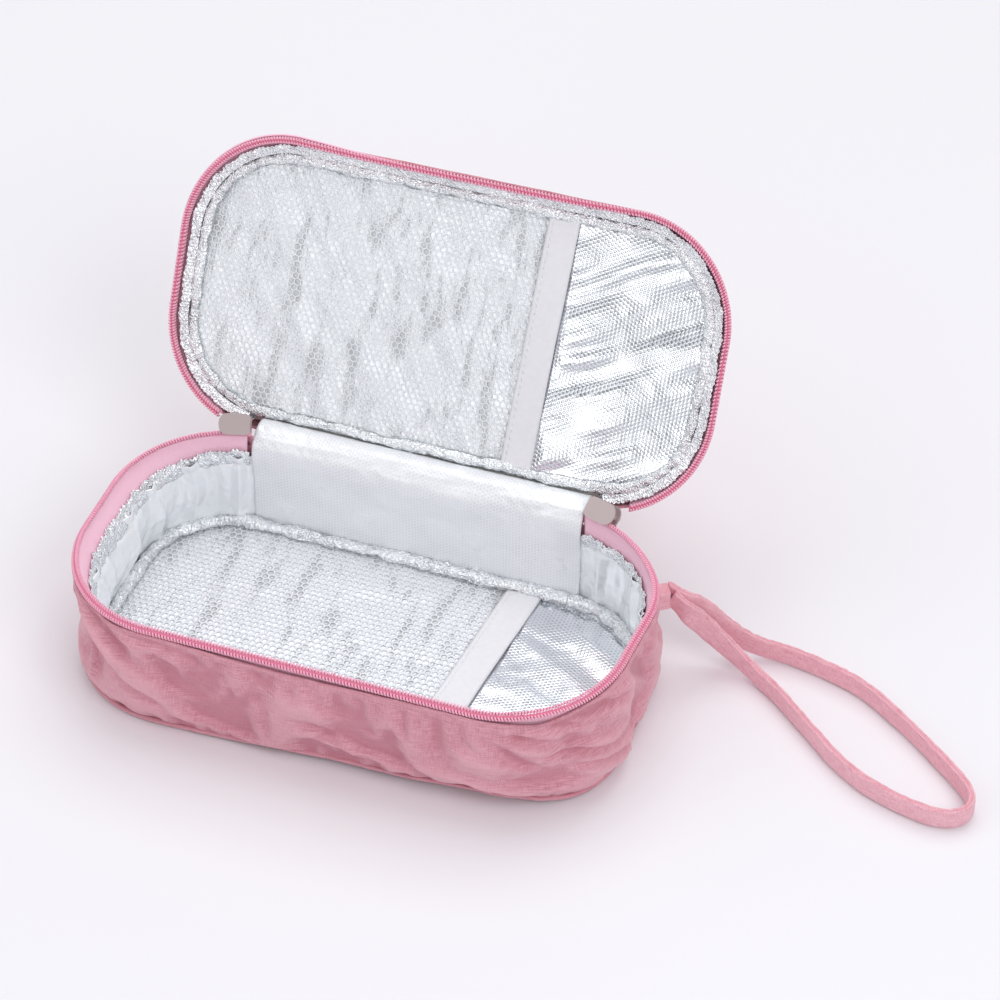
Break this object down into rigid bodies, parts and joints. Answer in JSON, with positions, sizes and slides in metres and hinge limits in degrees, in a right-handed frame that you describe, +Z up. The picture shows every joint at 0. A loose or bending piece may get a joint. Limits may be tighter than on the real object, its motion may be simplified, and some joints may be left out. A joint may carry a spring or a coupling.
{
  "type": "insulin cooling case",
  "caption": "Padded soft travel case that opens like a box: foil-lined base and lid with mesh pockets, zipped rim and a wrist strap.",
  "frame": {"origin": "on the underside of the base, in the middle of the rim's outline", "axes": "+X along the case towards the wrist strap, +Y towards the hinge, +Z up from the table"},
  "size_m": [0.3246, 0.1765, 0.1361],
  "materials": {
    "fabric": "matte",
    "trim": "matte",
    "foil": "gloss",
    "foam": "matte",
    "net": "matte",
    "metal": "satin"
  },
  "bodies": {
    "base": {"base_bottom_panel": "fabric", "base_bottom_piping": "fabric", "base_side_wall": "fabric", "base_back_wall": "fabric", "base_floor_foam": "foam", "base_side_foam": "foam", "base_back_foam": "foam", "base_floor_liner": "foil", "base_side_liner": "foil", "base_back_liner": "foil", "base_floor_binding": "foil", "base_zipper_tape": "trim", "base_zipper_coil": "trim", "base_pocket_net": "net", "base_pocket_tape": "net", "hinge_outer_strip": "fabric", "hinge_liner_strip": "foil", "strap_root": "fabric", "wrist_strap": "fabric"},
    "lid": {"lid_top_panel": "fabric", "lid_top_piping": "fabric", "lid_side_wall": "fabric", "lid_top_foam": "foam", "lid_side_liner": "foil", "lid_panel_liner": "foil", "lid_panel_binding": "foil", "lid_zipper_tape": "trim", "lid_zipper_coil": "trim", "lid_pocket_net": "net", "lid_pocket_tape": "net"},
    "slider_left_body": {"slider_left": "metal"},
    "pull_left_body": {"slider_pull_left": "fabric"},
    "slider_right_body": {"slider_right": "metal"},
    "pull_right_body": {"slider_pull_right": "fabric"}
  },
  "joints": [
    {"name": "lid_hinge", "type": "hinge", "parent": "base", "child": "lid", "pos_m": [0, 0.0543, 0.0452], "axis": [-1, 0, 0], "range_deg": [-120, 25], "deforming": ["hinge_outer_strip", "hinge_liner_strip"]},
    {"name": "slider_left_run", "type": "hinge", "parent": "base", "child": "slider_left_body", "pos_m": [-0.0575, 0.01175, 0.0484], "axis": [0, 0, 1], "range_deg": [0, 66]},
    {"name": "slider_right_run", "type": "hinge", "parent": "base", "child": "slider_right_body", "pos_m": [0.0575, 0.01175, 0.0484], "axis": [0, 0, -1], "range_deg": [0, 18]},
    {"name": "pull_left_swing", "type": "hinge", "parent": "slider_left_body", "child": "pull_left_body", "pos_m": [-0.07083, 0.05704, 0.04479], "axis": [-0.9593, -0.2823, 0], "range_deg": [-40, 0]},
    {"name": "pull_right_swing", "type": "hinge", "parent": "slider_right_body", "child": "pull_right_body", "pos_m": [0.07083, 0.05704, 0.04479], "axis": [-0.9593, 0.2823, 0], "range_deg": [-40, 0]}
  ]
}
